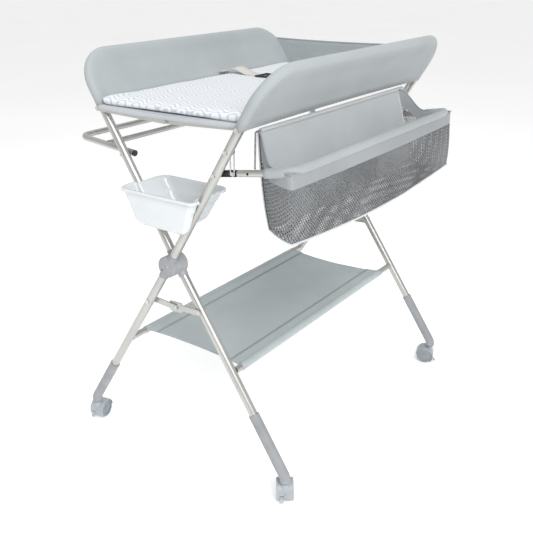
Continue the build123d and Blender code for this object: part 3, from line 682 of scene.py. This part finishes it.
shape = grid_sheet(30, 60)
for vertex in shape.verts:
    vertex.co = shelf_point(vertex.co.x, vertex.co.y)
shelf = finish_piece("shelf_sheet", shape, [shelf_cloth], None, ["shelf_fabric"])
solid_sheet(shelf, 1.4 * MM)
blend_frames(shelf, BELOW_HUB)
for side, side_name in ((-1, "left"), (1, "right")):
    body = "frame_b" if side < 0 else "frame_a"
    points = [(side * tube_x, shelf_low.y + (shelf_high.y - shelf_low.y) * k / 10, shelf_z)
              for k in range(11)]
    line_piece(f"shelf_sleeve_{side_name}", points, 9.6 * MM, shelf_cloth, body)
    shape = grid_sheet(4, 50)
    for vertex in shape.verts:
        u = side * (1 - POCKET / tube_x * (vertex.co.x + 1) / 2)
        vertex.co = shelf_point(u, vertex.co.y) + Vector((0, 0, 1.4 * MM))
    pocket = finish_piece(f"shelf_pocket_{side_name}", shape, [shelf_cloth], None)
    solid_sheet(pocket, 1.2 * MM)
    blend_frames(pocket, BELOW_HUB)
    for index in range(2):
        seam_u = side * (1 - POCKET / tube_x + 0.02 * index)
        seam = [shelf_point(seam_u, k / 12 - 1) + Vector((0, 0, 2.2 * MM)) for k in range(25)]
        line_piece(f"shelf_seam_{side_name}_{index}", seam, 0.5 * MM, dark_tape,
                                  blend=(BELOW_HUB,))

# ------------------------------------------------------------------ basket bag
RAIL_R = 7.5 * MM
rail_z = rail_high.z - RAIL_R
rail_x = rail_high.x - RAIL_R
rod_x, rod_z = (rod_low.x + rod_high.x) / 2, (rod_low.z + rod_high.z) / 2
BAG_COVER = 2.5 * MM                # the bag lies this far outside the rail and the arms
bag_near, bag_far = rail_low.y - BAG_COVER, rail_high.y + BAG_COVER
bag_out = rail_high.x - 1 * MM
bag_floor = bag_low.z + 6 * MM
END_PULL, RIM_PULL = 44 * MM, 26 * MM   # how far the ends come in beside the inner wall
SCOOP_START, SCOOP_END = rod_x + 6 * MM, rod_x + 62 * MM
FOOT_OFFSET = 37 * MM               # the inner wall's foot stands this far inside the bag's box
FLOOR_SAG, WALL_BELLY, CREASE = 23 * MM, 5 * MM, 2.2 * MM
WALL_ROWS, LENGTH_CUTS, FLOOR_COLUMNS = 14, 40, 8
LINING, BAND, NET = 0, 1, 2         # places of the three cloths in the bag's materials
bag_middle, bag_half = (bag_near + bag_far) / 2, (bag_far - bag_near) / 2


def rim_height(x):
    """Height of the bag's rim over x: from the rod it scoops down to the rail."""
    scoop = smooth_step(x, SCOOP_START, SCOOP_END)
    return rod_z * (1 - scoop) + rail_z * scoop


def inner_x(share):
    """x of the inner wall, by share of its height."""
    return bag_low.x + FOOT_OFFSET + (rod_x - bag_low.x - FOOT_OFFSET) * share


def end_pull(share, across):
    """How far an end wall stands in from the arm, by share of height and of the way outwards."""
    return (END_PULL + RIM_PULL * share * share) * (1 - across) ** 1.5 + 6 * MM * (1 - share)


def bag_place(u, v, w):
    """x, y, z on the taut bag by the cube's own coordinates, -1 to 1, and how far it sags there."""
    share, across = (w + 1) / 2, (u + 1) / 2
    x = inner_x(share) + (bag_out - inner_x(share)) * across
    z = bag_floor + (rim_height(x) - bag_floor) * share
    y = bag_middle + v * (bag_half - end_pull(share, across))
    sag = FLOOR_SAG * (1 - share) * math.sin(math.pi * (v + 1) / 2 * 0.9 + 0.15) * (0.35 + 0.65 * across)
    return x, y, z, sag


def bag_point(u, v, w):
    """Place on the bag by the cube's own coordinates, without creases."""
    x, y, z, sag = bag_place(u, v, w)
    return Vector((x, y, z - sag))


def bag_shape():
    """The open bag: a box whose walls are pulled to the rod, the rail and the sagging floor."""
    shape = bmesh.new()
    bmesh.ops.create_cube(shape, size=2)
    bmesh.ops.delete(shape, geom=[f for f in shape.faces if f.normal.z > 0.5], context="FACES_ONLY")
    upright = [e for e in shape.edges if abs(e.verts[0].co.z - e.verts[1].co.z) > 1]
    bmesh.ops.bevel(shape, geom=upright, offset=0.05, segments=3, profile=0.5, affect="EDGES", material=-1)
    for axis, count in ((2, WALL_ROWS), (1, LENGTH_CUTS), (0, FLOOR_COLUMNS)):
        for step in range(1, count):
            normal = [0, 0, 0]
            normal[axis] = 1
            place = [0, 0, 0]
            place[axis] = 2 * step / count - 1
            cut_across(shape, place, normal)
    for face in shape.faces:
        centre = face.calc_center_median()
        on_floor = face.normal.z < -0.5
        band_foot = 0.64 if abs(centre.y) < 0.93 else 0.5
        if centre.x < -0.93 and not on_floor:
            face.material_index = LINING
        elif on_floor or centre.z <= band_foot:
            face.material_index = NET
        else:
            face.material_index = BAND
    for vertex in shape.verts:
        u, v, w = vertex.co
        share, across = (w + 1) / 2, (u + 1) / 2
        x, y, z, sag = bag_place(u, v, w)
        # the outer wall bellies out a little, and the cloth creases below its rim
        belly = WALL_BELLY * math.sin(math.pi * share) * smooth_step(across, 0.6, 1.0)
        crease = CREASE * noise.noise(Vector((x * 9, y * 7, z * 8))) * (1 - smooth_step(share, 0.8, 1.0))
        vertex.co = Vector((min(x + belly * 0.6 + crease, bag_out + 6 * MM), y + crease * v, z - sag))
    bmesh.ops.recalc_face_normals(shape, faces=shape.faces)
    return shape


# the bag's band faces take the band cloth, whose darker colour is painted shade
bag = finish_piece("basket_cloth", bag_shape(), [inner_cloth, band_cloth_painted_shade, net], "basket",
                   ["basket_bag"])
solid_sheet(bag, 1.4 * MM)


def bag_edge(name, points, radius, material):
    """A piping, seam or rim that is sewn to the bag."""
    return line_piece(f"basket_{name}", points, radius, material, "basket")


bag_edges = [bag_edge("floor_piping", [bag_point(1, k / 12 - 1, -1) for k in range(25)], 2.6 * MM,
                      white_tape)]
for v, end_name in ((-1, "near"), (1, "far")):
    floor_end = [bag_point(k / 6 - 1, v, -1) for k in range(13)]
    bag_edges.append(bag_edge(f"floor_{end_name}_piping", floor_end, 1.8 * MM, white_tape))
    corner = [bag_point(-1, v, 2 * k / 12 - 1) for k in range(13)]
    bag_edges.append(bag_edge(f"inner_{end_name}_piping", corner, 2.6 * MM, white_tape))
    seam = [bag_point(-0.86, v, 2 * k / 12 - 1) + Vector((0, v * 1.2 * MM, 0)) for k in range(13)]
    bag_edges.append(bag_edge(f"{end_name}_seam", seam, 0.9 * MM, seam_thread))
    rim = [bag_point(k / 8 - 1, v, 1) for k in range(17)]
    # the rim ends use the band's cloth, drawn darker as painted shade
    bag_edges.append(bag_edge(f"rim_{end_name}", rim, 2.0 * MM, band_cloth_painted_shade))

# the rail's cloth cover, from the near arm round the outer rail to the far arm
COVER_BEND = 32 * MM
slope = (rail_z - basket_hinge.z) / (rail_x - basket_hinge.x)
near_arm, far_arm = rail_low.y + RAIL_R, rail_high.y - RAIL_R
straight = far_arm - near_arm - 2 * COVER_BEND
cover_path = [(SCOOP_END, near_arm, basket_hinge.z + (SCOOP_END - basket_hinge.x) * slope),
              (rail_x - COVER_BEND, near_arm, rail_z - COVER_BEND * slope),
              (rail_x - 6 * MM, near_arm + 2 * MM, rail_z),
              (rail_x, near_arm + COVER_BEND, rail_z)]
cover_path += [(rail_x, near_arm + COVER_BEND + straight * k / 8, rail_z) for k in range(1, 8)]
cover_path += [(x, far_arm + near_arm - y, z) for x, y, z in reversed(cover_path[:4])]
bag_edges.append(bag_edge("rail_cover", cover_path, 10.6 * MM, wall_cloth))

# ------------------------------------------------------------------ bath tub
BODY_TOP, BODY_LOW = 97 * MM, 47 * MM
WING_TOP, WING_LOW = tub_high.x, 78 * MM
RIGHT_STEP, LEFT_STEP = -408 * MM, -380 * MM
# corner radii in mm, from the front left corner round to the left step
FOOT_RADII = (22, 8, 4, 5, 18, 18, 5, 12)
RIM_RADII = (26, 10, 4, 4, 24, 24, 4, 9)
RIM_STEPS = ((1.5, 0.0), (1.5, 0.3), (0.8, 1.2), (0.0, 3.0))     # the turned rim: outwards and down, mm


def tub_outline(shape, body, wing, grow, z, radii):
    """The tub's plan at one height: a wide front that steps in round both legs to a narrow back."""
    front, back = tub_low.y + 8 * MM - grow, tub_high.y - 8 * MM + grow
    corners = [(-wing, front), (wing, front), (wing, RIGHT_STEP), (body, RIGHT_STEP), (body, back),
               (-body, back), (-body, LEFT_STEP), (-wing, LEFT_STEP)]
    face = shape.faces.new([shape.verts.new((x, y, z)) for x, y in corners])
    for (x, y), radius in zip(corners, radii):
        corner = min((v for v in shape.verts if abs(v.co.z - z) < 1e-6),
                     key=lambda v: (v.co - Vector((x, y, z))).length)
        bmesh.ops.bevel(shape, geom=[corner], offset=radius * MM, segments=8, profile=0.5, affect="VERTICES",
                        material=-1)
    return next(f for f in shape.faces if abs(f.calc_center_median().z - z) < 1e-6)


def tub_shape():
    """Floor and rim outlines are bridged, then the wall gets its rounded foot, ledge and turned rim."""
    shape = bmesh.new()
    height = tub_high.z - tub_low.z
    tub_outline(shape, BODY_LOW, WING_LOW, 0, tub_low.z, FOOT_RADII)
    rim = tub_outline(shape, BODY_TOP, WING_TOP - 4 * MM, 6 * MM, tub_high.z, RIM_RADII)
    bmesh.ops.delete(shape, geom=[rim], context="FACES_ONLY")
    walls = bmesh.ops.bridge_loops(shape, edges=shape.edges[:])["edges"]
    bmesh.ops.subdivide_edges(shape, edges=walls, cuts=15, use_grid_fill=True)
    centre = Vector((0, (tub_low.y + tub_high.y) / 2, 0))
    for vertex in shape.verts:
        share = (vertex.co.z - tub_low.z) / height
        outward = (Vector((vertex.co.x, vertex.co.y, 0)) - centre).normalized()
        tuck = 6 * MM * max(0.0, 1 - share / 0.16) ** 2
        ledge = 2.4 * MM * smooth_step(share, 0.61, 0.66)
        vertex.co += outward * (ledge - tuck)
    edge = [e for e in shape.edges if e.is_boundary]
    for out, drop in RIM_STEPS:
        grown = bmesh.ops.extrude_edge_only(shape, edges=edge)["geom"]
        edge = [item for item in grown if isinstance(item, bmesh.types.BMEdge)]
        for vertex in (item for item in grown if isinstance(item, bmesh.types.BMVert)):
            outward = (Vector((vertex.co.x, vertex.co.y, 0)) - centre).normalized()
            vertex.co += outward * out * MM - Vector((0, 0, drop * MM))
    return shape


tub = finish_piece("tub_shell", tub_shape(), [bath_plastic], "tub", ["bath_tub"])
solid_sheet(tub, 1.8 * MM, 1.0)

# ------------------------------------------------------------------ small visible fixings
def rivet_head(name, place, radius, height, body):
    """A low domed rivet head that faces the near end."""
    shape = bmesh.new()
    bmesh.ops.create_uvsphere(shape, u_segments=20, v_segments=10, radius=radius)
    bmesh.ops.scale(shape, vec=(1, height / radius, 1), verts=shape.verts)
    bmesh.ops.bisect_plane(shape, geom=shape.verts[:] + shape.edges[:] + shape.faces[:],
                           plane_co=(0, 0.2 * MM, 0), plane_no=(0, 1, 0), clear_outer=True)
    bmesh.ops.holes_fill(shape, edges=[e for e in shape.edges if e.is_boundary])
    bmesh.ops.translate(shape, verts=shape.verts, vec=place)
    finish_piece(name, shape, [zinc], body)


link_near_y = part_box("brace_link_left")[0][1]
rivet_head("brace_middle_rivet", (0.001, link_near_y, 0.413), radius=3.6 * MM, height=1.2 * MM,
           body="brace_left")

# ------------------------------------------------------------------ floor and light
def add_floor():
    """A pale seamless studio floor."""
    shape = bmesh.new()
    bmesh.ops.create_grid(shape, x_segments=1, y_segments=1, size=80)
    material, tree, shader, coords = start_material(
        "backlit white floor", {"Roughness": 0.9, "Emission Color": (1, 1, 1, 1), "Emission Strength": 0.30})
    cloud = add(tree, "ShaderNodeTexNoise", {"Scale": 0.7}, {"Vector": coords})
    two_tone(tree, shader, cloud.outputs["Fac"], "F4F4F4", "F8F8F8")
    mesh = bpy.data.meshes.new("floor")
    shape.to_mesh(mesh)
    shape.free()
    mesh.materials.append(material)
    floor = bpy.data.objects.new("floor", mesh)
    bpy.context.collection.objects.link(floor)


add_floor()
add_camera()
world = bpy.data.worlds.new("studio")
bpy.context.scene.world = world
world.use_nodes = True
world.node_tree.nodes["Background"].inputs["Color"].default_value = (1, 1, 1, 1)
world.node_tree.nodes["Background"].inputs["Strength"].default_value = 0.62
add_light("key", (2.6, -2.0, 2.9), (0, 0, 0.6), 2.4, 105)
add_light("top", (-0.6, 0.2, 3.6), (0, 0, 0.6), 2.6, 30)
bpy.context.scene.view_settings.view_transform = "Standard"
